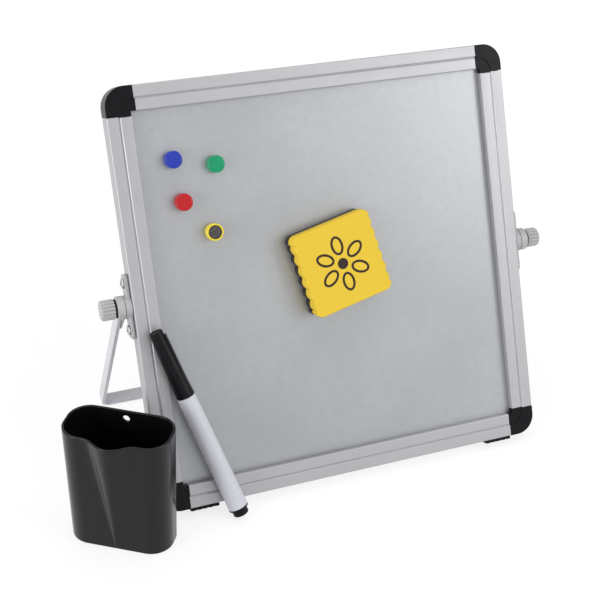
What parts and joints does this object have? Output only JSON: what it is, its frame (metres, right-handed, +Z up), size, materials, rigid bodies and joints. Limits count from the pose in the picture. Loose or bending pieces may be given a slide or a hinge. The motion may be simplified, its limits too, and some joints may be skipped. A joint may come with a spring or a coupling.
{
  "type": "desktop whiteboard easel",
  "caption": "Small framed magnetic whiteboard that leans back in a hinged U-shaped stand, with button magnets, a foam eraser, a marker and a pen cup.",
  "frame": {"origin": "on the ground, under the middle of the bounding box of the easel with its accessories", "axes": "+X to the viewer's right along the board's lower edge, +Y towards the stand's crossbar, +Z up"},
  "size_m": [0.3268, 0.16, 0.2394],
  "materials": {
    "anodised_aluminium": "satin anodised extrusion",
    "black_plastic": "satin moulded plastic",
    "writing_sheet": "coated steel, semi-gloss",
    "fibreboard": "raw fibreboard",
    "grey_plastic": "satin moulded plastic",
    "painted_bar": "satin paint",
    "plated_steel": "bright zinc plate",
    "rubber": "matt rubber",
    "blue_plastic": "semi-gloss moulded plastic",
    "green_plastic": "semi-gloss moulded plastic",
    "red_plastic": "semi-gloss moulded plastic",
    "yellow_plastic": "semi-gloss moulded plastic",
    "ferrite": "dull sintered ferrite",
    "yellow_foam": "printed foam",
    "dark_felt": "pressed felt",
    "magnet_rubber": "flexible magnet strip",
    "white_plastic": "glossy moulded plastic",
    "ink_fibre": "inked fibre",
    "cup_plastic": "satin moulded plastic"
  },
  "bodies": {
    "board": {"top_rail": "anodised_aluminium", "bottom_rail": "anodised_aluminium", "left_rail": "anodised_aluminium", "right_rail": "anodised_aluminium", "top_left_corner_cap": "black_plastic", "top_right_corner_cap": "black_plastic", "bottom_left_corner_cap": "black_plastic", "bottom_right_corner_cap": "black_plastic", "front_sheet": "writing_sheet", "rear_sheet": "writing_sheet", "core_board": "fibreboard", "left_foot_pad": "rubber", "left_pivot_bracket": "grey_plastic", "left_captive_nut": "plated_steel", "left_upper_screw": "plated_steel", "left_lower_screw": "plated_steel", "right_foot_pad": "rubber", "right_pivot_bracket": "grey_plastic", "right_captive_nut": "plated_steel", "right_upper_screw": "plated_steel", "right_lower_screw": "plated_steel"},
    "stand": {"stand_bar": "painted_bar", "left_stand_knuckle": "grey_plastic", "right_stand_knuckle": "grey_plastic"},
    "left_knob_turning": {"left_knob": "grey_plastic", "left_knob_stud": "plated_steel", "left_knob_washer": "rubber"},
    "right_knob_turning": {"right_knob": "grey_plastic", "right_knob_stud": "plated_steel", "right_knob_washer": "rubber"},
    "blue_magnet": {"blue_magnet_cap": "blue_plastic", "blue_magnet_disc": "ferrite"},
    "green_magnet": {"green_magnet_cap": "green_plastic", "green_magnet_disc": "ferrite"},
    "red_magnet": {"red_magnet_cap": "red_plastic", "red_magnet_disc": "ferrite"},
    "yellow_magnet": {"yellow_magnet_cap": "yellow_plastic", "yellow_magnet_disc": "ferrite"},
    "eraser": {"eraser_foam": "yellow_foam", "eraser_felt": "dark_felt", "eraser_magnet_strip": "magnet_rubber"},
    "marker": {"marker_barrel": "white_plastic", "marker_end_plug": "black_plastic", "marker_nib_holder": "black_plastic", "marker_nib": "ink_fibre", "marker_ink_reservoir": "ink_fibre"},
    "marker_cap_loose": {"marker_cap": "black_plastic"},
    "cup": {"pen_cup": "cup_plastic"}
  },
  "joints": [
    {"name": "stand_hinge", "type": "hinge", "parent": "board", "child": "stand", "pos_m": [0.01787, 0.00357, 0.11995], "axis": [1, 0, 0], "range_deg": [-50, 250]},
    {"name": "left_knob_turn", "type": "hinge", "parent": "board", "child": "left_knob_turning", "pos_m": [-0.12338, 0.00357, 0.11995], "axis": [1, 0, 0], "continuous": true},
    {"name": "right_knob_turn", "type": "hinge", "parent": "board", "child": "right_knob_turning", "pos_m": [0.15912, 0.00357, 0.11995], "axis": [1, 0, 0], "continuous": true},
    {"name": "blue_magnet_pull", "type": "slide", "parent": "board", "child": "blue_magnet", "axis": [0, -0.9171, 0.3987], "range_m": [0, 0.03]},
    {"name": "green_magnet_pull", "type": "slide", "parent": "board", "child": "green_magnet", "axis": [0, -0.9171, 0.3987], "range_m": [0, 0.03]},
    {"name": "red_magnet_pull", "type": "slide", "parent": "board", "child": "red_magnet", "axis": [0, -0.9171, 0.3987], "range_m": [0, 0.03]},
    {"name": "yellow_magnet_pull", "type": "slide", "parent": "board", "child": "yellow_magnet", "axis": [0, -0.9171, 0.3987], "range_m": [0, 0.03]},
    {"name": "eraser_pull", "type": "slide", "parent": "board", "child": "eraser", "axis": [0, -0.9171, 0.3987], "range_m": [0, 0.04]},
    {"name": "marker_lift", "type": "slide", "parent": "board", "child": "marker", "axis": [0, 0, 1], "range_m": [0, 0.15]},
    {"name": "marker_cap_pull", "type": "slide", "parent": "marker", "child": "marker_cap_loose", "axis": [-0.2945, 0.3811, 0.8764], "range_m": [0, 0.05]},
    {"name": "cup_lift", "type": "slide", "parent": "board", "child": "cup", "axis": [0, 0, 1], "range_m": [0, 0.15]}
  ]
}
